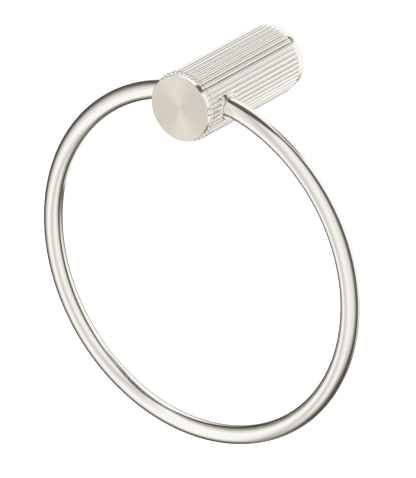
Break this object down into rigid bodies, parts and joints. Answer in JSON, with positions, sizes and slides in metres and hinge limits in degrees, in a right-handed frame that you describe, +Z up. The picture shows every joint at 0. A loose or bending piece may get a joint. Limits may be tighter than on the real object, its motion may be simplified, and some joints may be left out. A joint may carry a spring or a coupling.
{
  "type": "towel ring",
  "caption": "Fixed towel ring of round rod, held by one reeded cylindrical post that screws to a wall through a round wall plate.",
  "frame": {"origin": "centre of the post's round face on the wall", "axes": "+Z up, -Y out of the wall along the post, +X to the right of someone who faces the wall"},
  "size_m": [0.2, 0.0848, 0.2121],
  "materials": {
    "satin_nickel": "fine satin nickel, rubbed along the rod",
    "brushed_nickel": "brushed nickel: along the ribs on the post, in circles on the front face",
    "turned_brass": "bare turned brass, hidden in the post",
    "screw_steel": "plain steel grub screws"
  },
  "bodies": {
    "root": {"wall_plate": "brushed_nickel", "post_sleeve": "brushed_nickel", "front_cap": "brushed_nickel", "ring": "satin_nickel", "collar_left": "satin_nickel", "collar_right": "satin_nickel", "ring_core": "turned_brass", "ring_screw_left": "screw_steel", "ring_screw_right": "screw_steel", "post_screw": "screw_steel"}
  },
  "joints": []
}
